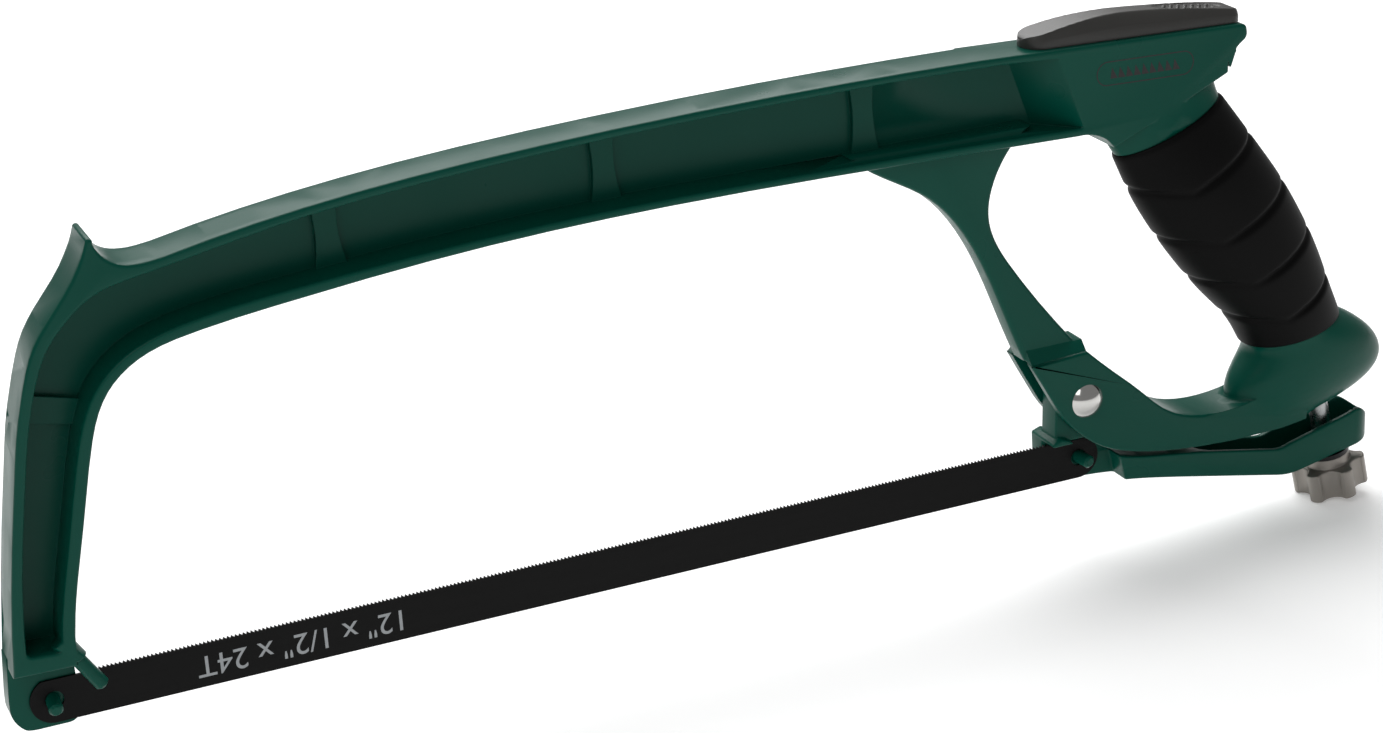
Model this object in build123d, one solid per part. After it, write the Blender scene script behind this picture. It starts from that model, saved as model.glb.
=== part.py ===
from build123d import *
import math
import os

os.makedirs("parts", exist_ok=True)

# Hand hacksaw, millimetres.
# The drawing frame has the front blade pin at X = 0, Z = 0, the blade along +X and the beam above it (+Z).
# The viewer's side is -Y. Every piece is shifted at export so that the origin is the bottom centre of
# the box.

# ---- driving dimensions -------------------------------------------------------------------------
X_MID = 196.15              # middle of the overall length, in the drawing frame
Z_LOW = -31.01              # lowest point of the star knob, in the drawing frame

HALF_W = 7.5                # near face of the beam, the leg and the head
FAR_W = 7.5                 # their flat far face
WEB_Y = 3.5                 # near face of the channel's web
RIB_RISE = 1.7              # how far a cross rib stands off the web

PIN_D = 3.8                 # blade pin
PIN_GAP = 300.8             # rear pin to front pin, blade tensioned
HOLE_D = 5.0                # hole in the blade
HOLE_GAP = 300.0            # nominal length of a 12 inch blade, hole to hole
BLADE_W = 12.7
BLADE_T = 0.65
SEAT_Y = 0.4                # plane the blade lies against, on the foot and on the lever

PIVOT_X = 299.3
PIVOT_Z = 20.4
RIVET_R = 3.0
RIVET_HEAD_R = 5.0
BUSH_R = 4.2
EAR_IN = 4.5                # inner face of each ear
NECK_HALF = 4.0             # half width of the lever between the ears
LEVER_HALF = 6.5            # half width of the lever below the frame

SCREW_X = 386.1             # where the screw's axis crosses the lever's underside
SCREW_Z = -15.5
SCREW_LEAN = math.radians(11.5)
SCREW_R = 3.0
SCREW_TIP = 33.0            # tip of the screw above the lever's underside, along its axis
FLOOR_T = 3.0               # floor of the lever under the hollow
WASHER_T = 1.4
KNOB_H = 9.2                # height of the lobes
KNOB_BOSS = 3.2             # round boss between the lobes and the washer
KNOB_R = 11.0
KNOB_LOBES = 6
BARREL_R = 4.5
BARREL_AT = 25.1            # centre of the barrel nut above the lever's underside, along the screw

TOP_SLOPE = 0.0361          # fall of the head's top surface towards the rear
LID_HALF = 5.6
SLOT_HALF = 3.6
SLOT_X0 = 305.0
SLOT_X1 = 345.5


# ---- helpers ------------------------------------------------------------------------------------
def side_plane(y):
    """Plane seen from the viewer's side: local x is X and local y is Z."""
    return Plane(origin=(0, y, 0), x_dir=(1, 0, 0), z_dir=(0, -1, 0))


def slab(face, y_low, y_high):
    """Plate between two Y values from an outline drawn in X and Z."""
    return extrude(side_plane(y_high) * face, amount=y_high - y_low)


def outline(*edges):
    """Face inside a closed chain of edges."""
    return make_face(Curve() + list(edges))


def block(x0, x1, y0, y1, z0, z1):
    """Box from its six limits."""
    return Pos((x0 + x1) / 2, (y0 + y1) / 2, (z0 + z1) / 2) * Box(x1 - x0, y1 - y0, z1 - z0)


def rod(x, z, radius, y_low, y_high):
    """Cylinder along Y."""
    mid = (y_low + y_high) / 2
    return Pos(x, mid, z) * Rot(90, 0, 0) * Cylinder(radius, y_high - y_low)


def oval_section(left, right, half, grow=0.0):
    """Ellipse across the handle between a front point and a rear point of its side view."""
    dx = right[0] - left[0]
    dz = right[1] - left[1]
    size = math.hypot(dx, dz)
    ux = dx / size
    uz = dz / size
    centre = ((left[0] + right[0]) / 2, 0, (left[1] + right[1]) / 2)
    plane = Plane(origin=centre, x_dir=(ux, 0, uz), z_dir=(-uz, 0, ux))
    return plane * Ellipse(size / 2 + grow, half + grow)


def on_screw(s, across=0.0):
    """Point on the screw's axis, s above the lever's underside, shifted across it to the rear."""
    x = SCREW_X - s * math.sin(SCREW_LEAN) + across * math.cos(SCREW_LEAN)
    z = SCREW_Z + s * math.cos(SCREW_LEAN) + across * math.sin(SCREW_LEAN)
    return (x, z)


def screw_part(radius, s_low, s_high):
    """Cylinder along the screw's axis."""
    centre = on_screw((s_low + s_high) / 2)
    lean_deg = math.degrees(SCREW_LEAN)
    return Pos(centre[0], 0, centre[1]) * Rot(0, -lean_deg, 0) * Cylinder(radius, s_high - s_low)


def head_top(x):
    """Height of the head's flat top."""
    return 126.3 - TOP_SLOPE * (x - 266.0)


def save(node, shape):
    """Shift a piece into the row frame and write it."""
    moved = Pos(-X_MID, 0, -Z_LOW) * shape
    moved.label = node
    export_step(moved, "parts/" + node + ".step")
    box = moved.bounding_box()
    low = [round(v, 2) for v in (box.min.X, box.min.Y, box.min.Z)]
    high = [round(v, 2) for v in (box.max.X, box.max.Y, box.max.Z)]
    print(node, low, high, "solids", len(moved.solids()), "volume", round(moved.volume, 1))


# ---- frame casting: arch made of leg, beam and head ---------------------------------------------
leg_outer = Spline(
    (-9.9, 11.6), (-7.3, 35), (-2.6, 64), (0.0, 77.5), (2.6, 87),
    (6.5, 97), (13, 105.6), (18.3, 112.6), (22.4, 121.2),
)
horn_tip = ThreePointArc((22.4, 121.2), (23.5, 121.9), (24.1, 120.6))
horn_back = Spline((24.1, 120.6), (26.0, 117.0), (29.4, 114.4), (34.5, 113.5), (41.0, 114.1))
beam_top = Spline((41.0, 114.1), (65, 118.3), (100, 122.3), (156, 125.5), (215, 126.7), (266, 126.3))
head_edge = Line((266, 126.3), (347.5, head_top(347.5)))
head_rear = Spline(
    (347.5, head_top(347.5)), (351.2, 122.4), (351.4, 119.6), (347.6, 115.6), (345.6, 112.0), (345.1, 109.8),
    tangents=((1, -0.04), (0, -1)),
)
head_cut = Line((345.1, 109.8), (308.6, 94.4))
head_under = Spline((308.6, 94.4), (306.0, 97.2), (301.6, 99.2), (297.0, 99.6))
under_line = Line((297.0, 99.6), (254, 100.8))
beam_under = Spline(
    (254, 100.8), (215, 101.7), (166, 102.0), (120, 100.5), (74, 96.6), (46, 93.1),
    (32.4, 89.4), (22.6, 81.4), (17.3, 68.5), (12.6, 48), (7.6, 25), (6.3, 11.2),
)
leg_step = Line((6.3, 11.2), (-9.9, 11.6))
arch_face = outline(
    leg_outer, horn_tip, horn_back, beam_top, head_edge, head_rear,
    head_cut, head_under, under_line, beam_under, leg_step,
)
arch = slab(arch_face, -HALF_W, FAR_W)

# foot below the step, set back so that the blade lies against it
foot_face = outline(
    Line((-9.9, 14.0), (-10.9, 2.0)),
    Spline((-10.9, 2.0), (-10.4, -3.4), (-8.0, -6.7), (-4.6, -7.5), tangents=((-0.05, -1), (1, -0.05))),
    Line((-4.6, -7.5), (3.2, -7.5)),
    Spline((3.2, -7.5), (6.0, -6.2), (7.0, -3.0), tangents=((1, 0), (0, 1))),
    Line((7.0, -3.0), (6.4, 14.0)),
    Line((6.4, 14.0), (-9.9, 14.0)),
)
foot = slab(foot_face, SEAT_Y, HALF_W - 0.8)

# deep channel, open to the viewer's side, as a cutter
channel_face = outline(
    Spline(
        (-5.9, 16.5), (-4.4, 35), (0.3, 64), (2.9, 77), (5.6, 86.5), (9.4, 95.2), (15.6, 102.4),
        (22.5, 107.4),
        (31, 109.8), (45, 112.2), (67, 116.1), (101, 120.0), (156, 123.3), (215, 124.5), (266, 124.1),
        (292.5, 122.9),
    ),
    Line((292.5, 122.9), (299.4, 101.8)),
    Spline(
        (299.4, 101.8), (266, 102.8), (215, 103.8), (166, 104.2), (120, 102.9), (73, 99.6), (44, 96.0),
        (30.2, 91.6), (19.7, 82.6), (14.0, 69.0), (9.2, 48), (4.2, 25), (3.0, 16.0),
    ),
    Line((3.0, 16.0), (-5.9, 16.5)),
)
channel = slab(channel_face, -HALF_W - 1, WEB_Y)
channel = fillet(channel.edges().filter_by(Axis.Y), 1.6)

# the channel's rear end slopes back towards the web
slope_face = make_face(Polyline(
    (296.0, -HALF_W - 2.0), (301.5, -HALF_W - 2.0), (301.5, WEB_Y + 1), (283.4, WEB_Y + 1), (283.4, WEB_Y),
    close=True,
))
slope_wedge = extrude(Pos(-3.4, 0, 124.4) * slope_face, amount=26, dir=(0.36, 0, -1))
channel = channel - slope_wedge

frame = arch + foot
frame = frame - channel

# low cross ribs on the web, each with hollow sides
def beam_rib(x, z0, z1, lean):
    mid = (z0 + z1) / 2
    left = ThreePointArc((x - 4.4, z0), (x - 3.0 + lean, mid), (x - 4.0 + 2 * lean, z1))
    right = ThreePointArc((x + 4.0 + 2 * lean, z1), (x + 3.0 + lean, mid), (x + 4.6, z0))
    top = Line((x - 4.0 + 2 * lean, z1), (x + 4.0 + 2 * lean, z1))
    foot_line = Line((x + 4.6, z0), (x - 4.4, z0))
    face = outline(left, top, right, foot_line)
    return slab(face, WEB_Y - RIB_RISE, WEB_Y + 1.5)


frame = frame + beam_rib(85.0, 99.5, 119.5, -0.4)
frame = frame + beam_rib(160.5, 103.0, 124.2, -0.3)
frame = frame + beam_rib(236.0, 102.6, 125.2, -0.3)
leg_rib_face = outline(Polyline((-0.5, 75.6), (18.0, 71.6), (20.4, 77.8), (1.8, 82.8), close=True))
leg_rib = slab(leg_rib_face, WEB_Y - RIB_RISE, WEB_Y + 1.5)
frame = frame + leg_rib

# ---- strut, ears and lower bridge ---------------------------------------------------------------
strut_face = outline(
    Spline((229, 104), (236.7, 98.2), (252.3, 88.6), (264.7, 73.4), (274.4, 51.9), (283.0, 31.5)),
    Line((283.0, 31.5), (303.5, 31.5)),
    Spline(
        (303.5, 31.5), (293.1, 43.3), (278.2, 63.4), (271.0, 79.5), (274.6, 93.6), (284.5, 104),
        tangents=((-0.7, 0.7), (0.9, 0.5)),
    ),
    Line((284.5, 104), (229, 104)),
)
strut = slab(strut_face, -3.75, 3.75)
strut = fillet(strut.edges().filter_by(GeomType.BSPLINE), 1.2)

bridge_face = outline(
    Polyline((281.5, 34.6), (284.8, 28.4), (290.0, 19.0)),
    Spline(
        (290.0, 19.0), (296.7, 10.8), (305.0, 4.7), (313.4, 1.5), (330.0, -1.6), (348.0, -2.6),
        (362.0, -2.4), (374.0, -1.2),
        tangents=((0.5, -0.86), (1, 0.15)),
    ),
    Line((374.0, -1.2), (374.0, 12.0)),
    Line((374.0, 12.0), (359.0, 9.5)),
    Spline(
        (359.0, 9.5), (350.0, 7.6), (338.0, 7.6), (328.0, 10.6), (316.6, 20.1), (299.6, 35.4),
        tangents=((-0.9, -0.3), (-0.72, 0.7)),
    ),
    Line((299.6, 35.4), (281.5, 34.6)),
)
bridge = slab(bridge_face, -HALF_W, HALF_W)
# sloping shoulder from the ears' faces up to the thinner strut
shoulder_face = make_face(Polyline((-HALF_W, 34.2), (-3.75, 38.2), (3.75, 38.2), (HALF_W, 34.2), close=True))
shoulder = extrude(Plane(origin=(281.6, 0, 0), x_dir=(0, 1, 0), z_dir=(1, 0, 0)) * shoulder_face, amount=18.0)

# ---- pommel and handle core ---------------------------------------------------------------------
pommel = loft([
    oval_section((357.2, 23.6), (387.0, 30.0), 12.6),
    oval_section((354.5, 16.5), (399.0, 22.0), 13.2),
    oval_section((351.0, 9.5), (403.2, 13.0), 12.2),
    oval_section((352.0, 3.2), (398.0, 6.6), 9.8),
    oval_section((358.0, -1.9), (381.0, -0.2), 7.0),
])

GRIP_SECTIONS = [
    ((313.0, 89.6), (345.9, 102.7), 9.2),
    ((320.6, 73.9), (356.5, 88.2), 12.4),
    ((330.2, 58.9), (367.2, 72.8), 14.0),
    ((341.1, 44.8), (376.6, 55.4), 14.5),
    ((352.0, 32.6), (383.6, 38.0), 13.8),
    ((357.2, 23.6), (387.0, 30.0), 12.6),
]


def handle_loft(grow_side, grow_half, drop=0):
    """Loft along the handle with each section grown or shrunk."""
    sections = []
    for left, right, half in GRIP_SECTIONS[drop:]:
        dx = right[0] - left[0]
        dz = right[1] - left[1]
        size = math.hypot(dx, dz)
        gx = grow_side * dx / size
        gz = grow_side * dz / size
        front = (left[0] - gx, left[1] - gz)
        rear = (right[0] + gx, right[1] + gz)
        sections.append(oval_section(front, rear, half + grow_half))
    return loft(sections)


core = handle_loft(-4.6, -3.9)
neck = loft([
    oval_section((306.0, 101.6), (343.8, 115.4), 7.0),
    oval_section((309.6, 95.0), (344.2, 108.4), 7.8),
    oval_section((313.0, 89.6), (345.9, 102.7), 8.8),
])

frame = frame + strut
frame = frame + bridge
frame = frame + shoulder
frame = frame + neck
frame = frame + core
frame = frame + pommel

# gap between the ears for the lever
ear_gap_face = outline(
    Line((276.0, 35.6), (276.0, -4.0)),
    Line((276.0, -4.0), (322.0, -4.0)),
    Line((322.0, -4.0), (311.5, 12.0)),
    ThreePointArc((311.5, 12.0), (309.6, 26.2), (300.5, 33.0)),
    Line((300.5, 33.0), (276.0, 35.6)),
)
frame = frame - slab(ear_gap_face, -EAR_IN, EAR_IN)
frame = frame - rod(PIVOT_X, PIVOT_Z, RIVET_R, -HALF_W - 1, HALF_W + 1)

# cross slot for the barrel nut, blind on the viewer's side, and the screw's passage
nut_x, nut_z = on_screw(BARREL_AT)
slot_r = BARREL_R + 0.12
slot_cut = block(nut_x - 2.0, nut_x + 0.1, -8.0, 16, nut_z - slot_r, nut_z + slot_r)
slot_cut = slot_cut + rod(nut_x + 0.1, nut_z, slot_r, -8.0, 16)
slot_cut = slot_cut + rod(nut_x - 2.0, nut_z, slot_r, -8.0, 16)
frame = frame - slot_cut
low_x, low_z = on_screw(10.0)
high_x, high_z = on_screw(SCREW_TIP + 1.5)
passage_face = outline(Polyline(
    (low_x - 6.9, low_z), (low_x + 3.9, low_z), (high_x + 3.9, high_z), (high_x - 4.9, high_z),
    close=True,
))
frame = frame - slab(passage_face, -3.6, 3.6)

# ---- bores for the blade pin and the keeper pin --------------------------------------------------
def leaning_pin(x, z, radius, y_low, y_high, tilt_deg, turn_deg, tip=0.6):
    """Pin through the seat plane at x, z. It leans by tilt towards turn, measured from +X in the side view."""
    t = math.radians(tilt_deg)
    a = math.radians(turn_deg)
    # direction out of the seat towards the viewer
    d = Vector(math.sin(t) * math.cos(a), -math.cos(t), math.sin(t) * math.sin(a))
    start = Vector(x, 0, z) - d * (y_high / math.cos(t))
    length = (y_high - y_low) / math.cos(t)
    plane = Plane(origin=start, z_dir=d)
    body = plane * Pos(0, 0, length / 2) * Cylinder(radius, length)
    if tip > 0:
        end = body.edges().filter_by(GeomType.CIRCLE).sort_by_distance(start + d * length)[0]
        body = chamfer(end, tip)
    return body


front_pin = leaning_pin(0, 0, PIN_D / 2, -4.4, 6.0, 16, -98)
front_bore = leaning_pin(0, 0, PIN_D / 2, -4.4, 6.0, 16, -98, tip=0)
frame = frame - front_bore

keeper_plane = Plane(origin=(3.6, -5.0, 17.4), z_dir=(0.53, 0.0, -0.848))
keeper = keeper_plane * Pos(0, 0, 8.3) * Cylinder(1.95, 16.6)
keeper_tip = keeper.edges().filter_by(GeomType.CIRCLE).sort_by(Axis.Z)[0]
keeper = chamfer(keeper_tip, 0.7)
boss = keeper_plane * Pos(0, 0, 2.4) * Cylinder(2.75, 7.2)
frame = frame + (boss & block(-8, 12, -HALF_W, 0, 12.2, 24))
frame = frame - keeper_plane * Pos(0, 0, 8.3) * Cylinder(1.95, 16.6)

def head_box(x0, x1, y_half, down0, down1):
    """Box parallel to the head's top, from one depth below it to another."""
    mid = (x0 + x1) / 2
    plane = Plane(origin=(mid, 0, head_top(mid)), x_dir=(1, 0, -TOP_SLOPE), z_dir=(TOP_SLOPE, 0, 1))
    return plane * Pos(0, 0, -(down0 + down1) / 2) * Box(x1 - x0, 2 * y_half, down1 - down0)


# storage compartment and the lid's undercut slot in the head
slot = head_box(SLOT_X0, SLOT_X1, SLOT_HALF, -3.0, 4.2)
groove = head_box(SLOT_X0, SLOT_X1, SLOT_HALF + 1.1, 1.6, 3.2)
pocket = head_box(322.5, SLOT_X1 - 3.5, SLOT_HALF, 3.0, 16.0)
frame = frame - slot
frame = frame - groove
frame = frame - pocket
STOP_X = SLOT_X0 + 1.2
stop_pin = rod(STOP_X, head_top(STOP_X) - 2.4, 1.2, -5.6, FAR_W - 0.2)
frame = frame - rod(STOP_X, head_top(STOP_X) - 2.4, 1.2, -5.6, FAR_W + 1)

# hardened saddle under the barrel nut and the groove that holds it
saddle_low = nut_z - slot_r - 1.0
saddle = block(nut_x - 6.2, nut_x + 4.4, -6.6, 6.4, saddle_low, saddle_low + 1.0)
frame = frame - block(nut_x - 6.2, nut_x + 4.4, -6.6, 16, saddle_low, saddle_low + 1.6)
saddle = saddle - slab(passage_face, -3.6, 3.6)
save("frame", frame)
save("lid_stop_pin", stop_pin)
save("nut_saddle", saddle)

# ---- grip ---------------------------------------------------------------------------------------
grip_outer = handle_loft(0.0, 0.6)
grip = grip_outer - core
grip = grip - neck
grip = grip - pommel
save("handle_grip", grip)

save("front_blade_pin", front_pin)
save("blade_keeper_pin", keeper)

# ---- storage lid and its stop -------------------------------------------------------------------
lid_gap = 0.08
lid_face = outline(
    Line((350.6, head_top(350.6) + lid_gap), (283.8, head_top(283.8) + lid_gap)),
    Spline(
        (283.8, head_top(283.8) + lid_gap), (283.2, 127.4), (285.0, 129.3), (289.6, 130.2),
        tangents=((-0.3, 1), (1, 0.1)),
    ),
    Line((289.6, 130.2), (300.0, 131.2)),
    Spline((300.0, 131.2), (312.0, 131.7), (322.0, 131.0), tangents=((1, 0.08), (1, -0.12))),
    Line((322.0, 131.0), (349.0, 126.9)),
    Spline(
        (349.0, 126.9), (351.0, 125.6), (350.6, head_top(350.6) + lid_gap),
        tangents=((1, -0.15), (-0.3, -1)),
    ),
)
lid = slab(lid_face, -LID_HALF, LID_HALF)
# rounded nose and softer rear corners in plan
lid_plan = Pos(317.1, 0, 0) * RectangleRounded(68.4, 2 * LID_HALF, 3.6)
lid = lid & extrude(Pos(0, 0, 110) * lid_plan, amount=30)
# foot that runs in the head's undercut slot
foot_neck = head_box(328.0, 344.6, SLOT_HALF - 0.08, -1.0, 2.9)
foot_flange = head_box(328.0, 344.6, SLOT_HALF + 1.0, 1.72, 3.08)
lid = lid + foot_neck
lid = lid + foot_flange
save("storage_lid", lid)

# ---- tension lever ------------------------------------------------------------------------------
pad_rear = on_screw(0, 9.2)
pad_front = on_screw(0, -13.2)
lever_low_face = outline(
    Line((288.9, -4.6), (288.6, 8.6)),
    Line((288.6, 8.6), (291.4, 9.6)),
    Line((291.4, 9.6), (293.4, 9.0)),
    Spline(
        (293.4, 9.0), (298.4, 5.8), (305.0, 2.4), (314.0, -0.6), (328.0, -3.0), (340.0, -4.9),
        tangents=((0.8, -0.5), (1, -0.16)),
    ),
    Line((340.0, -4.9), (364.0, -9.6)),
    Spline((364.0, -9.6), (367.0, -9.6), (370.0, -8.7), tangents=((1, -0.1), (1, 0.25))),
    Line((370.0, -8.7), (389.0, -4.0)),
    Spline((389.0, -4.0), (394.0, -2.8), (397.6, -5.4), (398.9, -11.0), tangents=((1, 0.24), (0.1, -1))),
    Spline((398.9, -11.0), (398.2, -12.4), pad_rear, tangents=((0, -1), (-1, -0.2))),
    Line(pad_rear, pad_front),
    Spline(pad_front, (367.2, -18.4), (362.0, -17.4), tangents=((-1, -0.2), (-1, 0.21))),
    Line((362.0, -17.4), (331.0, -10.9)),
    Spline((331.0, -10.9), (312.0, -7.5), (298.0, -6.4), (291.4, -6.3), tangents=((-1, 0.2), (-1, 0))),
    ThreePointArc((291.4, -6.3), (289.6, -5.9), (288.9, -4.6)),
)
lever_low = slab(lever_low_face, -LEVER_HALF, LEVER_HALF)
REAR_X = 399.0
plan_face = Pos((REAR_X + 250) / 2, 0, -30) * SlotOverall(REAR_X - 250, 2 * LEVER_HALF)
lever_low = lever_low & extrude(plan_face, amount=60)

neck_face = outline(
    Line((290.6, 8.0), (291.0, 20.4)),
    ThreePointArc((291.0, 20.4), (299.3, 28.7), (307.6, 20.4)),
    Line((307.6, 20.4), (310.4, 0.0)),
    Line((310.4, 0.0), (293.0, 0.0)),
    Line((293.0, 0.0), (290.6, 8.0)),
)
lever = lever_low + slab(neck_face, -NECK_HALF, NECK_HALF)

# recess for the rear end of the blade, with a rounded end wall
seat_face = outline(
    Line((278.0, 7.6), (306.0, 7.6)),
    Spline((306.0, 7.6), (309.3, 3.4), (311.2, -1.6), (312.6, -9.5)),
    Line((312.6, -9.5), (278.0, -9.5)),
    Line((278.0, -9.5), (278.0, 7.6)),
)
lever = lever - slab(seat_face, -12, SEAT_Y)

# channel open at the top towards the knob
hollow_face = outline(
    Line((338.0, 4.0), (338.0, -9.8)),
    Spline((338.0, -9.8), (350.0, -12.1), (362.0, -14.3), tangents=((1, -0.19), (1, -0.19))),
    Spline((362.0, -14.3), (366.4, -15.2), on_screw(FLOOR_T, -13.2), tangents=((1, -0.2), (1, 0.2))),
    Line(on_screw(FLOOR_T, -13.2), on_screw(FLOOR_T, 20)),
    Line(on_screw(FLOOR_T, 20), (402.0, 4.0)),
    Line((402.0, 4.0), (338.0, 4.0)),
)
hollow = slab(hollow_face, -LEVER_HALF + 2.0, LEVER_HALF - 2.0)
hollow_plan = Pos((REAR_X - 2.2 + 338) / 2, 0, -30) * SlotOverall(REAR_X - 2.2 - 338, 2 * LEVER_HALF - 4.0)
hollow = hollow & extrude(hollow_plan, amount=60)
lever = lever - hollow
lever = lever - rod(PIVOT_X, PIVOT_Z, BUSH_R, -12, 12)
lever = lever - screw_part(SCREW_R + 0.06, -6, 10)
rear_bore = leaning_pin(PIN_GAP, 0, PIN_D / 2, -4.4, 5.4, 16, -22, tip=0)
lever = lever - rear_bore
save("tension_lever", lever)
save("rear_blade_pin", leaning_pin(PIN_GAP, 0, PIN_D / 2, -4.4, 5.4, 16, -22))

# ---- pivot: rivet, bush and two thrust washers ---------------------------------------------------
rivet = rod(PIVOT_X, PIVOT_Z, RIVET_R, -HALF_W - 0.5, HALF_W + 0.5)


def dome(side):
    """Domed rivet head on one ear."""
    height = 2.3
    ball_r = (RIVET_HEAD_R ** 2 + height ** 2) / (2 * height)
    centre_y = side * (HALF_W + height - ball_r)
    ball = Pos(PIVOT_X, centre_y, PIVOT_Z) * Sphere(ball_r)
    y0 = min(side * HALF_W, side * (HALF_W + 6))
    y1 = max(side * HALF_W, side * (HALF_W + 6))
    return ball & block(PIVOT_X - 9, PIVOT_X + 9, y0, y1, PIVOT_Z - 9, PIVOT_Z + 9)


rivet = rivet + dome(-1)
rivet = rivet + dome(1)
save("pivot_rivet", rivet)
bush = rod(PIVOT_X, PIVOT_Z, BUSH_R, -NECK_HALF, NECK_HALF) - rod(PIVOT_X, PIVOT_Z, RIVET_R + 0.05, -12, 12)
save("pivot_bush", bush)
washer_gap = 0.04
shank_bore = rod(PIVOT_X, PIVOT_Z, RIVET_R, -12, 12)
washer_near = rod(PIVOT_X, PIVOT_Z, 7.5, -EAR_IN, -NECK_HALF - washer_gap) - shank_bore
washer_far = rod(PIVOT_X, PIVOT_Z, 7.5, NECK_HALF + washer_gap, EAR_IN) - shank_bore
save("pivot_washer_near", washer_near)
save("pivot_washer_far", washer_far)

# ---- tension screw, knob, washer, clip and barrel nut --------------------------------------------
CLIP_S = FLOOR_T + 0.75
KNOB_TOP = -WASHER_T
LOBE_TOP = KNOB_TOP - KNOB_BOSS
KNOB_LOW = LOBE_TOP - KNOB_H
PIN_S = KNOB_LOW + 3.6
screw = screw_part(SCREW_R, KNOB_LOW + 1.5, SCREW_TIP)
screw_end = screw.edges().filter_by(GeomType.CIRCLE).sort_by(Axis.Z)[-1]
screw = chamfer(screw_end, 0.8)
groove_core = screw_part(SCREW_R - 0.5, CLIP_S - 0.2, CLIP_S + 1.0)
clip_groove = screw_part(SCREW_R + 1, CLIP_S, CLIP_S + 0.8) - groove_core
screw = screw - clip_groove
# cross pin that locks the knob to the screw, through one pair of valleys
pin_x, pin_z = on_screw(PIN_S)
cross_pin = Pos(pin_x, 0, pin_z) * Rot(0, 90 - math.degrees(SCREW_LEAN), 0) * Cylinder(1.0, 15.4)
screw = screw - cross_pin
save("tension_screw", screw)
clip = screw_part(4.1, CLIP_S, CLIP_S + 0.8) - screw_part(SCREW_R - 0.5, CLIP_S - 0.2, CLIP_S + 1.0)
clip_mouth_x, clip_mouth_z = on_screw(CLIP_S + 0.4, 3.4)
clip = clip - Pos(clip_mouth_x, 0, clip_mouth_z) * Rot(0, -math.degrees(SCREW_LEAN), 0) * Box(6.8, 3.2, 3.0)
save("screw_clip", clip)
washer = screw_part(7.0, -WASHER_T, -0.03) - screw_part(SCREW_R, -WASHER_T - 1, 1)
save("thrust_washer", washer)

knob = screw_part(KNOB_R - 2.6, KNOB_LOW, LOBE_TOP) + screw_part(6.8, KNOB_LOW + 1, KNOB_TOP)
lobe_centre = KNOB_R - 3.3
kx, kz = on_screw((KNOB_LOW + LOBE_TOP) / 2)
knob_plane = Pos(kx, 0, kz) * Rot(0, -math.degrees(SCREW_LEAN), 0)
for i in range(KNOB_LOBES):
    a = 2 * math.pi * (i + 0.5) / KNOB_LOBES
    lobe = Pos(lobe_centre * math.cos(a), lobe_centre * math.sin(a), 0) * Cylinder(3.3, KNOB_H)
    knob = knob + knob_plane * lobe
for i in range(KNOB_LOBES):
    a = 2 * math.pi * i / KNOB_LOBES
    valley = Pos(11.9 * math.cos(a), 11.9 * math.sin(a), 0) * Cylinder(3.9, KNOB_H + 0.02)
    knob = knob - knob_plane * valley
knob = knob - screw_part(SCREW_R, KNOB_LOW + 1.5, 2)
knob = knob - cross_pin
save("star_knob", knob)
save("knob_cross_pin", cross_pin)

barrel = rod(nut_x, nut_z, BARREL_R, -7.4, 6.6) - screw_part(SCREW_R + 0.04, -10, SCREW_TIP + 10)
save("barrel_nut", barrel)

# ---- saw blade ----------------------------------------------------------------------------------
hole_front = (PIN_GAP - HOLE_GAP) / 2
hole_rear = hole_front + HOLE_GAP
blade_mid = (hole_front + hole_rear) / 2
blade_face = Pos(blade_mid, 0) * SlotOverall(HOLE_GAP + BLADE_W, BLADE_W)
blade_face = blade_face - Pos(hole_front, 0) * Circle(HOLE_D / 2)
blade_face = blade_face - Pos(hole_rear, 0) * Circle(HOLE_D / 2)
save("saw_blade", slab(blade_face, -BLADE_T / 2, BLADE_T / 2))
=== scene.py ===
"""Hand hacksaw: cast bow frame, rubber grip, sliding lid, tension lever with a star knob, toothed blade."""

import math

import bmesh
import bpy
from mathutils import Matrix, Vector


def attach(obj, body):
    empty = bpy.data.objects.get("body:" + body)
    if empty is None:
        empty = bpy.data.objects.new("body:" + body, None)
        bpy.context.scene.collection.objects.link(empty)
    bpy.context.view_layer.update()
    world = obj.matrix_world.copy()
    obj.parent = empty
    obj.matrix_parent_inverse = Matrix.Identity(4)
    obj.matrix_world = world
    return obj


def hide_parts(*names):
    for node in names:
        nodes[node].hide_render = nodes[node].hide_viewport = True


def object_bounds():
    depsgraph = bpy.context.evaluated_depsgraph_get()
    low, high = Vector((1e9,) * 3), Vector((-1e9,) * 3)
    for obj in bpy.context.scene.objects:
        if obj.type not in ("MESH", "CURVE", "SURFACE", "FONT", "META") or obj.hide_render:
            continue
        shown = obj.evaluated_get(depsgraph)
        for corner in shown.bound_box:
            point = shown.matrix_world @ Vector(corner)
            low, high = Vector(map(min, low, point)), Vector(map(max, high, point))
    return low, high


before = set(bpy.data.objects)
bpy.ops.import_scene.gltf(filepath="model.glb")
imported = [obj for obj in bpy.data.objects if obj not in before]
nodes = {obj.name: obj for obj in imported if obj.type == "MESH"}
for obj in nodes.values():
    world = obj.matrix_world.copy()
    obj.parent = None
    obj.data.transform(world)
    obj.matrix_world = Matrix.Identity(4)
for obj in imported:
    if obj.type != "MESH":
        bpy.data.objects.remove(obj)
cad_low, cad_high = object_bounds()

MM = 0.001

# The row frame seen from the drawing frame, whose zero is the front blade pin.
PIN_SHIFT_X = -196.15
PIN_SHIFT_Z = 31.01

HALF_W = 7.5            # near and far face of the casting
BLADE_T = 0.65
BLADE_HALF = 6.35       # half the blade's width
TOOTH_PITCH = 25.4 / 24
TOOTH_DEEP = 0.66
TOOTH_SET = 0.09        # how far a tooth leans out of the blade

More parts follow.
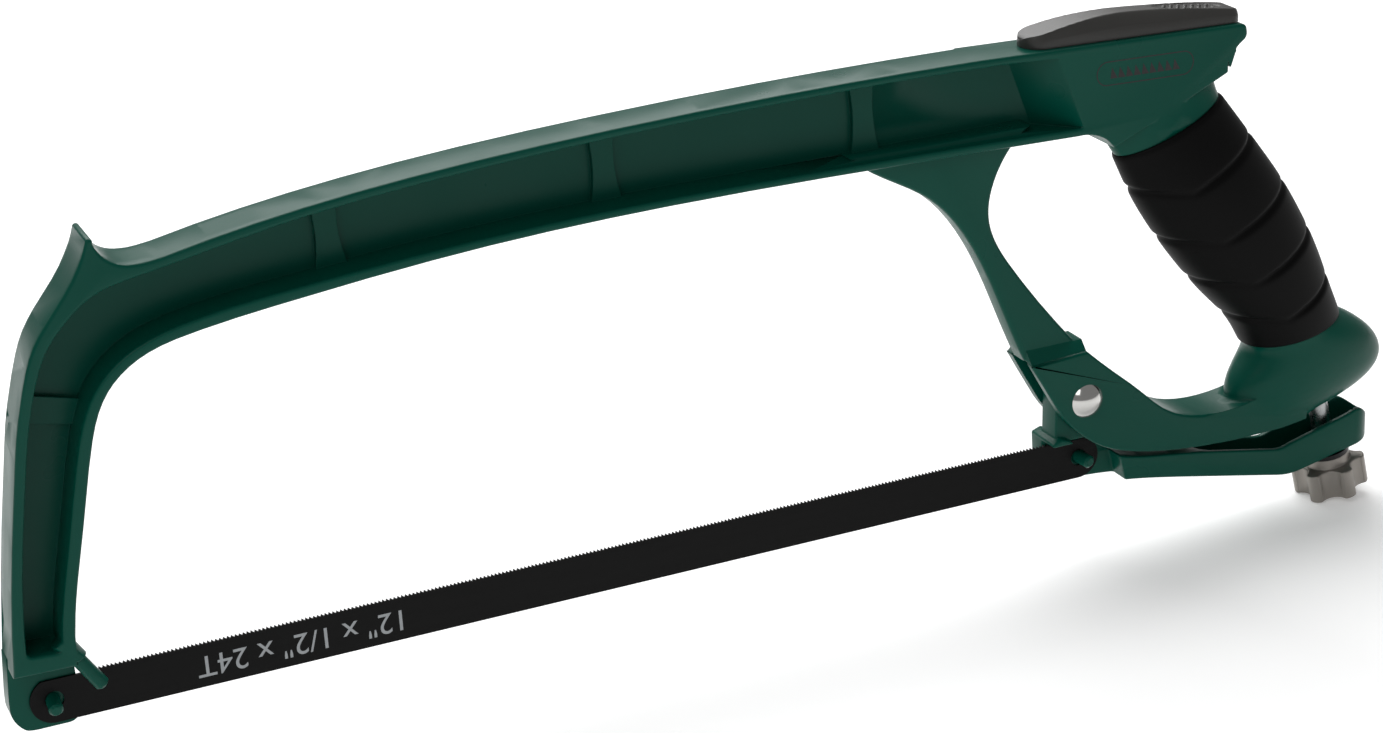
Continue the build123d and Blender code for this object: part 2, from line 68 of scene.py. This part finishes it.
GRIP_SECTIONS = (       # front point, rear point and half width of the handle, from the head down
    ((313.0, 89.6), (345.9, 102.7), 9.2),
    ((320.6, 73.9), (356.5, 88.2), 12.4),
    ((330.2, 58.9), (367.2, 72.8), 14.0),
    ((341.1, 44.8), (376.6, 55.4), 14.5),
    ((352.0, 32.6), (383.6, 38.0), 13.8),
    ((357.2, 23.6), (387.0, 30.0), 12.6),
)
GRIP_SKIN = 0.6         # how far the rubber stands out beyond those sections
GRIP_GROOVES = (        # where each groove bends on the side of the grip
    (331.5, 77.9),
    (341.0, 61.6),
    (351.4, 47.4),
    (362.5, 34.2),
)
GROOVE_REAR_SLOPE = 0.5
GROOVE_FRONT_SLOPE = -0.06
GROOVE_DEEP = 0.85
GROOVE_HALF = 0.75

TOP_SLOPE = 0.0361      # fall of the head's top towards the rear


def at(x, y, z):
    """Point of the drawing frame, in mm, as a point of the row frame, in metres."""
    return Vector(((x + PIN_SHIFT_X) * MM, y * MM, (z + PIN_SHIFT_Z) * MM))


def head_top(x):
    """Height of the head's flat top in the drawing frame."""
    return 126.3 - TOP_SLOPE * (x - 266.0)


def eased(a, b, x):
    """0 below a, 1 above b, smooth between."""
    s = min(1.0, max(0.0, (x - a) / (b - a)))
    return s * s * (3 - 2 * s)


# ---- materials ----------------------------------------------------------------------------------
def linear(code):
    """sRGB hex colour as linear red, green, blue and alpha."""
    channels = [int(code[i:i + 2], 16) / 255 for i in (1, 3, 5)]
    return [c / 12.92 if c <= 0.04045 else ((c + 0.055) / 1.055) ** 2.4 for c in channels] + [1.0]


def add(tree, kind, settings=None, links=None):
    """One node, its settings, and what feeds its sockets."""
    node = tree.nodes.new(kind)
    for name, value in (settings or {}).items():
        if name in node.inputs:
            node.inputs[name].default_value = value
        else:
            setattr(node, name, value)
    for name, source in (links or {}).items():
        tree.links.new(source, node.inputs[name])
    return node


def finish_of(name, colour, roughness, metallic=0.0, **sockets):
    """Material with one plain surface, and its tree, shader and object coordinates."""
    material = bpy.data.materials.new(name)
    material.use_nodes = True
    tree = material.node_tree
    shader = tree.nodes["Principled BSDF"]
    shader.inputs["Base Color"].default_value = linear(colour)
    shader.inputs["Roughness"].default_value = roughness
    shader.inputs["Metallic"].default_value = metallic
    for socket, value in sockets.items():
        shader.inputs[socket.replace("_", " ")].default_value = value
    place = add(tree, "ShaderNodeTexCoord")
    return material, tree, shader, place.outputs["Object"]


def powder_coat():
    """Baked green powder coat on die-cast aluminium: semi-gloss, with a fine orange peel."""
    material, tree, shader, place = finish_of("green_powder_coat", "#00473A", 0.3, Specular_IOR_Level=0.14)
    peel = add(tree, "ShaderNodeTexNoise", {"Scale": 1 / (1.3 * MM), "Detail": 2.0}, {"Vector": place})
    rounded = add(tree, "ShaderNodeBevel", {"samples": 4, "Radius": 0.45 * MM})
    bump = add(
        tree, "ShaderNodeBump", {"Strength": 0.28, "Distance": 0.05 * MM},
        {"Height": peel.outputs["Fac"], "Normal": rounded.outputs["Normal"]},
    )
    tree.links.new(bump.outputs["Normal"], shader.inputs["Normal"])
    worn = add(tree, "ShaderNodeTexNoise", {"Scale": 1 / (22 * MM), "Detail": 3.0}, {"Vector": place})
    rough = add(
        tree, "ShaderNodeMapRange",
        {"From Min": 0.3, "From Max": 0.7, "To Min": 0.27, "To Max": 0.36}, {"Value": worn.outputs["Fac"]},
    )
    tree.links.new(rough.outputs["Result"], shader.inputs["Roughness"])
    return material


def grip_rubber():
    """Black thermoplastic rubber, moulded: matt, with a fine grain."""
    material, tree, shader, place = finish_of(
        "moulded_black_rubber", "#070707", 0.5, Specular_IOR_Level=0.08,
    )
    grain = add(tree, "ShaderNodeTexNoise", {"Scale": 1 / (0.5 * MM), "Detail": 3.0}, {"Vector": place})
    bump = add(
        tree, "ShaderNodeBump", {"Strength": 0.22, "Distance": 0.06 * MM},
        {"Height": grain.outputs["Fac"]},
    )
    tree.links.new(bump.outputs["Normal"], shader.inputs["Normal"])
    return material


def lid_plastic():
    """Charcoal nylon, moulded in a spark-eroded tool: a fine even stipple and a low sheen."""
    material, tree, shader, place = finish_of("stippled_charcoal_nylon", "#343331", 0.38)
    stipple = add(tree, "ShaderNodeTexVoronoi", {"Scale": 1 / (0.4 * MM)}, {"Vector": place})
    bump = add(
        tree, "ShaderNodeBump", {"Strength": 0.35, "Distance": 0.05 * MM},
        {"Height": stipple.outputs["Distance"]},
    )
    tree.links.new(bump.outputs["Normal"], shader.inputs["Normal"])
    return material


def blade_lacquer():
    """Black stoved lacquer on rolled bi-metal strip: satin, with faint lengthwise rolling marks."""
    material, tree, shader, place = finish_of(
        "black_stoved_lacquer", "#060606", 0.42, Specular_IOR_Level=0.12,
    )
    stretched = add(tree, "ShaderNodeMapping", {"Scale": (0.03, 1.0, 1.0)}, {"Vector": place})
    marks = add(
        tree, "ShaderNodeTexNoise", {"Scale": 1 / (0.6 * MM), "Detail": 2.0},
        {"Vector": stretched.outputs["Vector"]},
    )
    rough = add(
        tree, "ShaderNodeMapRange",
        {"From Min": 0.3, "From Max": 0.7, "To Min": 0.36, "To Max": 0.48}, {"Value": marks.outputs["Fac"]},
    )
    tree.links.new(rough.outputs["Result"], shader.inputs["Roughness"])
    return material


def polished_steel():
    """Polished steel rivet: bright and mirror-like, with faint turning scratches."""
    material, tree, shader, place = finish_of("polished_rivet_steel", "#C9C8C5", 0.14, 1.0)
    scuff = add(tree, "ShaderNodeTexNoise", {"Scale": 1 / (0.9 * MM), "Detail": 2.0}, {"Vector": place})
    bump = add(
        tree, "ShaderNodeBump", {"Strength": 0.06, "Distance": 0.02 * MM},
        {"Height": scuff.outputs["Fac"]},
    )
    tree.links.new(bump.outputs["Normal"], shader.inputs["Normal"])
    return material


def zinc_plate():
    """Zinc-plated steel: bright grey with a slight haze."""
    material, tree, shader, place = finish_of("zinc_plated_steel", "#A9ABAB", 0.3, 1.0)
    haze = add(tree, "ShaderNodeTexNoise", {"Scale": 1 / (2.0 * MM), "Detail": 3.0}, {"Vector": place})
    rough = add(
        tree, "ShaderNodeMapRange",
        {"From Min": 0.3, "From Max": 0.7, "To Min": 0.24, "To Max": 0.38}, {"Value": haze.outputs["Fac"]},
    )
    tree.links.new(rough.outputs["Result"], shader.inputs["Roughness"])
    return material


def cast_zinc():
    """Tumbled die-cast zinc: a soft grey satin with small dull spots left by the tumbling stones."""
    material, tree, shader, place = finish_of("tumbled_cast_zinc", "#8F8A84", 0.42, 0.75)
    spots = add(tree, "ShaderNodeTexNoise", {"Scale": 1 / (0.8 * MM), "Detail": 4.0}, {"Vector": place})
    bump = add(
        tree, "ShaderNodeBump", {"Strength": 0.3, "Distance": 0.05 * MM},
        {"Height": spots.outputs["Fac"]},
    )
    tree.links.new(bump.outputs["Normal"], shader.inputs["Normal"])
    return material


def black_oxide():
    """Black oxide on steel: near black, oily satin."""
    material, tree, shader, place = finish_of("black_oxide_steel", "#1B1B1C", 0.38, 0.6)
    mottle = add(tree, "ShaderNodeTexNoise", {"Scale": 1 / (1.2 * MM), "Detail": 2.0}, {"Vector": place})
    bump = add(
        tree, "ShaderNodeBump", {"Strength": 0.1, "Distance": 0.02 * MM},
        {"Height": mottle.outputs["Fac"]},
    )
    tree.links.new(bump.outputs["Normal"], shader.inputs["Normal"])
    return material


def natural_nylon():
    """Natural nylon washer: milky white and slightly waxy."""
    material, tree, shader, place = finish_of("natural_nylon", "#D9D5C6", 0.45, Subsurface_Weight=0.1)
    wax = add(tree, "ShaderNodeTexNoise", {"Scale": 1 / (1.5 * MM)}, {"Vector": place})
    bump = add(
        tree, "ShaderNodeBump", {"Strength": 0.08, "Distance": 0.02 * MM},
        {"Height": wax.outputs["Fac"]},
    )
    tree.links.new(bump.outputs["Normal"], shader.inputs["Normal"])
    return material


def sintered_bronze():
    """Sintered bronze bush: warm, with fine open pores."""
    material, tree, shader, place = finish_of("sintered_bronze", "#A9834A", 0.42, 1.0)
    pores = add(tree, "ShaderNodeTexVoronoi", {"Scale": 1 / (0.35 * MM)}, {"Vector": place})
    bump = add(
        tree, "ShaderNodeBump", {"Strength": 0.3, "Distance": 0.03 * MM},
        {"Height": pores.outputs["Distance"]},
    )
    tree.links.new(bump.outputs["Normal"], shader.inputs["Normal"])
    return material


def pad_ink(name, colour, roughness):
    """Pad-printed ink: flat colour, a little uneven in gloss."""
    material, tree, shader, place = finish_of(name, colour, roughness)
    cover = add(tree, "ShaderNodeTexNoise", {"Scale": 1 / (0.7 * MM), "Detail": 2.0}, {"Vector": place})
    shade = add(
        tree, "ShaderNodeMapRange",
        {"From Min": 0.3, "From Max": 0.7, "To Min": roughness - 0.05, "To Max": roughness + 0.05},
        {"Value": cover.outputs["Fac"]},
    )
    tree.links.new(shade.outputs["Result"], shader.inputs["Roughness"])
    return material


def studio_paper():
    """Seamless white paper for the floor: matt, and lit a little from behind."""
    material, tree, shader, place = finish_of("seamless_white_paper", "#FAFAFA", 0.9, Emission_Strength=0.22)
    shader.inputs["Emission Color"].default_value = (1, 1, 1, 1)
    fibre = add(tree, "ShaderNodeTexNoise", {"Scale": 1 / (3.0 * MM)}, {"Vector": place})
    bump = add(
        tree, "ShaderNodeBump", {"Strength": 0.02, "Distance": 0.05 * MM},
        {"Height": fibre.outputs["Fac"]},
    )
    tree.links.new(bump.outputs["Normal"], shader.inputs["Normal"])
    return material


GREEN = powder_coat()
RUBBER = grip_rubber()
CHARCOAL = lid_plastic()
LACQUER = blade_lacquer()
RIVET = polished_steel()
ZINC = zinc_plate()
KNOB = cast_zinc()
OXIDE = black_oxide()
NYLON = natural_nylon()
BRONZE = sintered_bronze()
BADGE_INK = pad_ink("black_pad_ink", "#040404", 0.5)
BLADE_INK = pad_ink("pale_grey_pad_ink", "#9CA0A3", 0.6)

CAD_FINISHES = {
    "frame": GREEN, "front_blade_pin": GREEN, "rear_blade_pin": GREEN, "blade_keeper_pin": GREEN,
    "tension_lever": GREEN, "handle_grip": RUBBER, "storage_lid": CHARCOAL, "saw_blade": LACQUER,
    "pivot_rivet": RIVET, "tension_screw": ZINC, "lid_stop_pin": ZINC, "nut_saddle": ZINC,
    "knob_cross_pin": ZINC, "barrel_nut": ZINC, "star_knob": KNOB, "screw_clip": OXIDE,
    "thrust_washer": OXIDE, "pivot_washer_near": NYLON, "pivot_washer_far": NYLON, "pivot_bush": BRONZE,
}
for node_name, finish in CAD_FINISHES.items():
    slots = nodes[node_name].data.materials
    slots.clear()
    slots.append(finish)


# ---- making pieces ------------------------------------------------------------------------------
def piece(name, bm, material, body, replaced=(), crease=35.0):
    """Object from a finished bmesh, smooth except at edges sharper than crease."""
    mesh = bpy.data.meshes.new(name)
    bm.to_mesh(mesh)
    bm.free()
    mesh.materials.clear()
    mesh.materials.append(material)
    mesh.shade_smooth()
    mesh.set_sharp_from_angle(angle=math.radians(crease))
    shown = bpy.data.objects.new(name, mesh)
    bpy.context.scene.collection.objects.link(shown)
    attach(shown, body)
    if replaced:
        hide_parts(*replaced)
    return shown


def cad_copy(node_name):
    """A CAD node's mesh as one closed bmesh with its flat faces joined."""
    bm = bmesh.new()
    bm.from_mesh(nodes[node_name].data)
    bmesh.ops.remove_doubles(bm, verts=bm.verts, dist=0.002 * MM)
    bmesh.ops.dissolve_degenerate(bm, edges=bm.edges, dist=0.004 * MM)
    bmesh.ops.dissolve_limit(
        bm, angle_limit=math.radians(0.15), use_dissolve_boundaries=False, verts=bm.verts, edges=bm.edges,
    )
    return bm


def round_edges(bm, chosen, width, segments=3):
    """Round the edges that chosen picks."""
    edges = [e for e in bm.edges if len(e.link_faces) == 2 and chosen(e)]
    bmesh.ops.bevel(
        bm, geom=edges, offset=width * MM, offset_type="OFFSET", affect="EDGES", segments=segments,
        profile=0.5, material=-1, clamp_overlap=False, miter_outer="ARC", miter_inner="SHARP",
        loop_slide=True,
    )
    return bm


def rounded_by_weight(bm, weight, width, segments):
    """The mesh with each edge rounded by its own share of the width."""
    layer = bm.edges.layers.float.new("bevel_weight_edge")
    for e in bm.edges:
        if len(e.link_faces) == 2:
            e[layer] = weight(e)
    mesh = bpy.data.meshes.new("rounding")
    bm.to_mesh(mesh)
    bm.free()
    holder = bpy.data.objects.new("rounding", mesh)
    bpy.context.scene.collection.objects.link(holder)
    bevel = holder.modifiers.new("rounding", "BEVEL")
    bevel.limit_method = "WEIGHT"
    bevel.offset_type = "OFFSET"
    bevel.width = width * MM
    bevel.segments = segments
    bevel.use_clamp_overlap = False
    bevel.miter_outer = "MITER_ARC"
    bpy.context.view_layer.update()
    made = bpy.data.meshes.new_from_object(holder.evaluated_get(bpy.context.evaluated_depsgraph_get()))
    bpy.data.objects.remove(holder)
    result = bmesh.new()
    result.from_mesh(made)
    return result


def sharper_than(degrees):
    """Picks edges whose two faces turn by more than an angle."""
    return lambda e: e.calc_face_angle(0.0) > math.radians(degrees)


def rim_of_side(y_mm):
    """Picks edges between the flat side at y and a wall that runs across the casting."""
    def chosen(e):
        flat, wall = sorted(e.link_faces, key=lambda f: -abs(f.normal.y))
        on_side = all(abs(v.co.y - y_mm * MM) < 0.02 * MM for v in e.verts)
        return on_side and abs(flat.normal.y) > 0.99 and abs(wall.normal.y) < 0.35
    return chosen


# ---- frame casting ------------------------------------------------------------------------------
def casting_rounding(e):
    """How round each edge of the casting is, as a share of the largest rounding."""
    middle = (e.verts[0].co + e.verts[1].co) / 2
    x = middle.x / MM - PIN_SHIFT_X
    z = middle.z / MM - PIN_SHIFT_Z
    if rim_of_side(-HALF_W)(e):
        return 0.0 if x > 341 and z < 116 else 0.36
    if rim_of_side(HALF_W)(e):
        if x > 280 or z < 14:
            return 0.0
        if z > 111 and x < 34:
            return 0.3
        return 0.9 - 0.45 * eased(88.0, 106.0, z)
    return 0.0


RIM_ROUNDING = 2.1      # width of the largest rounding on the casting's rim
casting = rounded_by_weight(cad_copy("frame"), casting_rounding, RIM_ROUNDING, 4)
piece("frame_casting", casting, GREEN, "frame_body", ["frame"], 32)


# ---- tension lever ------------------------------------------------------------------------------
lever = cad_copy("tension_lever")
lever = round_edges(lever, sharper_than(50), 0.5)
piece("tension_lever_cast", lever, GREEN, "lever_body", ["tension_lever"])

knob = cad_copy("star_knob")
knob = round_edges(knob, sharper_than(50), 0.45)
piece("star_knob_cast", knob, KNOB, "screw_body", ["star_knob"])


# ---- grip ---------------------------------------------------------------------------------------
def grip_section(t):
    """Front point, rear point and half width of the handle at t, from 0 at the head to 1."""
    span = t * (len(GRIP_SECTIONS) - 1)
    i = min(int(span), len(GRIP_SECTIONS) - 2)
    k = span - i
    spots = [GRIP_SECTIONS[max(0, min(len(GRIP_SECTIONS) - 1, j))] for j in (i - 1, i, i + 1, i + 2)]
    numbers = [(*front, *rear, half) for front, rear, half in spots]

    def smooth(a, b, c, d):
        return b + 0.5 * k * (c - a + k * (2 * a - 5 * b + 4 * c - d + k * (3 * (b - c) + d - a)))

    fx, fz, rx, rz, half = [smooth(*four) for four in zip(*numbers)]
    return (fx, fz), (rx, rz), half


def groove_depth(x, z):
    """How deep the grooves cut at a point of the side view, in mm."""
    deepest = 0.0
    for bend_x, bend_z in GRIP_GROOVES:
        slope = GROOVE_REAR_SLOPE if x > bend_x else GROOVE_FRONT_SLOPE
        gap = (z - bend_z - slope * (x - bend_x)) * math.cos(math.atan(slope))
        reach = (x - bend_x) / 9.0
        fade = 0.25 + 0.75 * min(1.0, abs(reach)) if reach < 0 else min(1.0, 0.35 + reach)
        # steep above, gentle below, as the end of an overlapping fold
        half = GROOVE_HALF if gap > 0 else 1.5 * GROOVE_HALF
        deepest = max(deepest, fade * math.exp(-(gap / half) ** 2))
    return GROOVE_DEEP * deepest


GRIP_RINGS = 190
GRIP_ROUND = 112
grip = bmesh.new()
rings = []
for ring in range(GRIP_RINGS + 1):
    t = ring / GRIP_RINGS
    front, rear, half = grip_section(t)
    centre = at((front[0] + rear[0]) / 2, 0, (front[1] + rear[1]) / 2)
    depth = math.hypot(rear[0] - front[0], rear[1] - front[1]) / 2 + GRIP_SKIN
    along = Vector((rear[0] - front[0], 0, rear[1] - front[1])).normalized()
    across = Vector((0, 1, 0))
    tight = 1.0
    edge = min(t, 1 - t) * GRIP_RINGS
    if edge < 6:
        tight = 1 - 0.045 * (1 - edge / 6) ** 2
    place = Matrix((
        (along.x * depth * MM * tight, 0, -along.z, centre.x),
        (0, (half + GRIP_SKIN) * MM * tight, 0, 0),
        (along.z * depth * MM * tight, 0, along.x, centre.z),
        (0, 0, 0, 1),
    ))
    made = bmesh.ops.create_circle(grip, cap_ends=False, segments=GRIP_ROUND, radius=1.0, matrix=place)
    for v in made["verts"]:
        x = v.co.x / MM - PIN_SHIFT_X
        z = v.co.z / MM - PIN_SHIFT_Z
        inward = Vector((centre.x - v.co.x, -v.co.y, centre.z - v.co.z)).normalized()
        v.co += inward * groove_depth(x, z) * MM
    rings.append(list({e for v in made["verts"] for e in v.link_edges}))
for upper, lower in zip(rings, rings[1:]):
    bmesh.ops.bridge_loops(grip, edges=upper + lower)
for end in (rings[0], rings[-1]):
    bmesh.ops.holes_fill(grip, edges=end, sides=0)
bmesh.ops.recalc_face_normals(grip, faces=grip.faces)
piece("grip_sleeve", grip, RUBBER, "frame_body", ["handle_grip"], 60)


# ---- saw blade ----------------------------------------------------------------------------------
def toothed_blade():
    """Blade with its edge cut back to the roots of the teeth, and a row of set teeth along it."""
    bm = cad_copy("saw_blade")
    root = at(0, 0, BLADE_HALF - TOOTH_DEEP).z
    bmesh.ops.bisect_plane(
        bm, geom=bm.verts[:] + bm.edges[:] + bm.faces[:], plane_co=(0, 0, root), plane_no=(0, 0, 1),
        clear_outer=True,
    )
    bmesh.ops.holes_fill(bm, edges=[e for e in bm.edges if e.is_boundary], sides=0)
    first = 8.2
    count = int(284.5 / TOOTH_PITCH)
    for i in range(count):
        lean = TOOTH_SET * math.sin(i * math.pi / 2.5)
        x = first + i * TOOTH_PITCH
        # raked face towards the nose, sloping back behind the tip
        foot = BLADE_HALF - TOOTH_DEEP - 0.1
        corners = ((x, foot), (x + TOOTH_PITCH, foot), (x + 0.18, BLADE_HALF))
        near = []
        for px, pz in corners:
            shift = lean if pz == BLADE_HALF else 0.0
            near.append(bm.verts.new(at(px, -BLADE_T / 2 + 0.01 + shift, pz)))
        side = bm.faces.new(near)
        grown = bmesh.ops.extrude_face_region(bm, geom=[side])
        moved = [v for v in grown["geom"] if isinstance(v, bmesh.types.BMVert)]
        bmesh.ops.translate(bm, verts=moved, vec=(0, (BLADE_T - 0.02) * MM, 0))
    bmesh.ops.recalc_face_normals(bm, faces=bm.faces)
    return bm


piece("toothed_blade", toothed_blade(), LACQUER, "blade_body", ["saw_blade"], 25)


# ---- printed marks ------------------------------------------------------------------------------
def printed_text(name, words, height, material, body, place):
    """Printed words as a thin flat mesh, placed by a matrix."""
    curve = bpy.data.curves.new(name, "FONT")
    curve.body = words
    curve.size = height
    curve.align_x = "CENTER"
    curve.align_y = "CENTER"
    curve.extrude = 0.004 * MM
    holder = bpy.data.objects.new(name + "_curve", curve)
    bpy.context.scene.collection.objects.link(holder)
    bpy.context.view_layer.update()
    bm = bmesh.new()
    bm.from_mesh(bpy.data.meshes.new_from_object(holder))
    bpy.data.objects.remove(holder)
    bmesh.ops.transform(bm, matrix=place, verts=bm.verts)
    return piece(name, bm, material, body)


# Size of the blade, printed head down because the teeth point up into the bow.
FACING_VIEWER = Matrix.Rotation(math.pi / 2, 4, "X")
size_spot = Matrix.Translation(at(66.5, -BLADE_T / 2 - 0.006, -0.3))
size_place = size_spot @ Matrix.Rotation(math.pi, 4, "Y") @ FACING_VIEWER
SIZE_WORDS = "12\" x 1/2\" x 24T"
printed_text("blade_size_print", SIZE_WORDS, 8.6 * MM, BLADE_INK, "blade_body", size_place)


def badge():
    """Outlined strip with a row of saw teeth, printed on the head."""
    bm = bmesh.new()
    middle = Matrix.Translation(at(318.3, -HALF_W - 0.008, 115.7))
    half_long = 15.6 * MM
    radius = 3.5 * MM
    turn = middle @ Matrix.Rotation(math.atan(TOP_SLOPE), 4, "Y") @ FACING_VIEWER
    outer = bmesh.ops.create_circle(bm, cap_ends=False, segments=48, radius=radius)["verts"]
    inner = bmesh.ops.create_circle(bm, cap_ends=False, segments=48, radius=radius - 0.32 * MM)["verts"]
    for v in outer + inner:
        if abs(v.co.x) > 1e-7:
            v.co.x += math.copysign(half_long - radius, v.co.x)
    bmesh.ops.bridge_loops(bm, edges=bm.edges[:])
    teeth = 9
    pitch = 2.5 * MM
    for i in range(teeth):
        x = (i - (teeth - 1) / 2) * pitch
        corners = ((-1.15, -1.5), (1.15, -1.5), (-0.75, 1.6))
        tooth = [bm.verts.new((x + dx * MM, dy * MM, 0)) for dx, dy in corners]
        bm.faces.new(tooth)
    grown = bmesh.ops.extrude_face_region(bm, geom=bm.faces[:])
    moved = [v for v in grown["geom"] if isinstance(v, bmesh.types.BMVert)]
    bmesh.ops.translate(bm, verts=moved, vec=(0, 0, 0.012 * MM))
    bmesh.ops.recalc_face_normals(bm, faces=bm.faces)
    bmesh.ops.transform(bm, matrix=turn, verts=bm.verts)
    return bm


piece("head_badge", badge(), BADGE_INK, "frame_body")


# ---- storage lid --------------------------------------------------------------------------------
LID_X0 = 282.95
LID_X1 = 351.2
LID_HALF = 5.6
LID_CREST_X = 312.0
LID_CREST = 6.85        # height of the lid over the head's top at its highest point
LID_GAP = 0.08          # clearance between the lid and the head
LID_STEPS_X = 150
LID_STEPS_Y = 40


def lid_half_width(x):
    """Half width of the lid: a round nose and softer rear corners."""
    nose = x - LID_X0
    tail = LID_X1 - x
    half = LID_HALF
    if nose < LID_HALF:
        half = min(half, math.sqrt(max(0.0, LID_HALF ** 2 - (LID_HALF - nose) ** 2)))
    if tail < 3.6:
        half = min(half, LID_HALF - 3.6 + math.sqrt(max(0.0, 3.6 ** 2 - (3.6 - tail) ** 2)))
    return half


def lid_height(x, share):
    """Height of the lid's upper surface over the head's top, at a share of its half width."""
    # rises over the front half, then falls more slowly to the tail
    if x < LID_CREST_X:
        ahead = (LID_CREST_X - x) / (LID_CREST_X - LID_X0)
        crest = LID_CREST - 3.9 * ahead ** 1.9
    else:
        crest = LID_CREST - 3.35 * ((x - LID_CREST_X) / (LID_X1 - LID_CREST_X)) ** 1.6
    shoulder = 0.42 + 0.1 * eased(290.0, 318.0, x)
    facet = 0.14 + 0.36 * eased(288.0, 316.0, x) - 0.26 * eased(322.0, 347.0, x)
    edge = abs(share)
    height = crest
    if edge > 1 - facet:
        down = (edge - (1 - facet)) / facet
        height = crest * (1 - (1 - shoulder) * down ** 1.25)
    ends = min(x - LID_X0, LID_X1 - x)
    if ends < 1.8:
        height *= 0.62 + 0.38 * math.sqrt(max(0.0, 1 - (1 - ends / 1.8) ** 2))
    dish = ((x - 336.0) / 11.0) ** 2 + (share / 0.62) ** 2
    if dish < 1:
        height -= 0.55 * (1 - dish) ** 0.35
    return height


def lid_shell():
    """Lid as a grid over its plan, raised to its height and closed down to the head."""
    bm = bmesh.new()
    bmesh.ops.create_grid(bm, x_segments=LID_STEPS_X, y_segments=LID_STEPS_Y, size=1.0)
    for v in bm.verts:
        along = (1 - math.cos((v.co.x + 1) / 2 * math.pi)) / 2 * 0.35 + (v.co.x + 1) / 2 * 0.65
        x = LID_X0 + along * (LID_X1 - LID_X0)
        share = math.sin(v.co.y * math.pi / 2) * 0.4 + v.co.y * 0.6
        half = max(0.02, lid_half_width(x))
        v.co = at(x, share * half, head_top(x) + LID_GAP + lid_height(x, share))
    rim = [e for e in bm.edges if e.is_boundary]
    grown = bmesh.ops.extrude_edge_only(bm, edges=rim)
    for v in [g for g in grown["geom"] if isinstance(g, bmesh.types.BMVert)]:
        x = v.co.x / MM - PIN_SHIFT_X
        v.co.z = at(x, 0, head_top(x) + LID_GAP).z
    bmesh.ops.holes_fill(bm, edges=[e for e in bm.edges if e.is_boundary], sides=0)
    bmesh.ops.recalc_face_normals(bm, faces=bm.faces)
    return bm


piece("lid_shell", lid_shell(), CHARCOAL, "lid_body", ["storage_lid"], 40)


def thumb_dots():
    """Rows of small round nubs in the lid's thumb dish."""
    bm = bmesh.new()
    for row in range(-1, 2):
        for step in range(7):
            x = 328.6 + 2.3 * step + (1.15 if row else 0.0)
            share = row * 0.3
            if ((x - 336.0) / 10.0) ** 2 + (share / 0.55) ** 2 > 0.92:
                continue
            z = head_top(x) + LID_GAP + lid_height(x, share)
            nub = Matrix.Diagonal((0.62 * MM, 0.62 * MM, 0.3 * MM, 1))
            place = Matrix.Translation(at(x, share * LID_HALF, z)) @ nub
            bmesh.ops.create_icosphere(bm, subdivisions=2, radius=1.0, matrix=place)
    return bm


piece("lid_thumb_dots", thumb_dots(), CHARCOAL, "lid_body")


# ---- floor, camera, light -----------------------------------------------------------------------
floor_mesh = bpy.data.meshes.new("studio_floor")
floor_bm = bmesh.new()
bmesh.ops.create_grid(floor_bm, x_segments=1, y_segments=1, size=6.0)
floor_bm.to_mesh(floor_mesh)
floor_bm.free()
floor_mesh.materials.append(studio_paper())
floor = bpy.data.objects.new("studio_floor", floor_mesh)
floor.location = (0, 0, cad_low.z)
bpy.context.scene.collection.objects.link(floor)

camera_data = bpy.data.cameras.new("camera")
camera_data.sensor_width = 36.0
camera_data.lens = 78.306
camera_data.clip_start = 0.01
camera_data.clip_end = 20.0
camera = bpy.data.objects.new("camera", camera_data)
look = Vector((0.3562, 0.8583, -0.3694)).normalized()
right = Vector((0.9139, -0.4024, -0.0540))
right = (right - look * right.dot(look)).normalized()
up = right.cross(look)
camera.matrix_world = Matrix((
    (right.x, up.x, -look.x, (-107.6 + PIN_SHIFT_X) * MM),
    (right.y, up.y, -look.y, -695.2 * MM),
    (right.z, up.z, -look.z, (352.6 + PIN_SHIFT_Z) * MM),
    (0, 0, 0, 1),
))
bpy.context.scene.collection.objects.link(camera)
bpy.context.scene.camera = camera


def soft_box(name, size, power, spot, aim):
    """Square area light that faces a point."""
    light = bpy.data.lights.new(name, "AREA")
    light.shape = "SQUARE"
    light.size = size
    light.energy = power
    lamp = bpy.data.objects.new(name, light)
    direction = Vector(aim) - Vector(spot)
    turn = direction.to_track_quat("-Z", "Y").to_matrix().to_4x4()
    lamp.matrix_world = Matrix.Translation(spot) @ turn
    bpy.context.scene.collection.objects.link(lamp)


soft_box("top_softbox", 1.6, 30, (0.1, 0.9, 1.3), (0, 0, 0.08))
soft_box("near_softbox", 0.9, 5, (-0.9, -0.9, 1.3), (0, 0, 0.08))
bpy.context.scene.view_settings.view_transform = "Standard"

world = bpy.data.worlds.new("studio")
world.use_nodes = True
tree = world.node_tree
backdrop = tree.nodes["Background"]
backdrop.inputs["Color"].default_value = (1, 1, 1, 1)
ambient = add(tree, "ShaderNodeBackground", {"Color": (1, 1, 1, 1), "Strength": 0.26})
# the paper sweep is bright to look at, while the room behind the camera gives little light
seen = add(tree, "ShaderNodeLightPath")
mix = add(tree, "ShaderNodeMixShader", {}, {"Fac": seen.outputs["Is Camera Ray"]})
tree.links.new(ambient.outputs["Background"], mix.inputs[1])
tree.links.new(backdrop.outputs["Background"], mix.inputs[2])
tree.links.new(mix.outputs["Shader"], tree.nodes["World Output"].inputs["Surface"])
bpy.context.scene.world = world
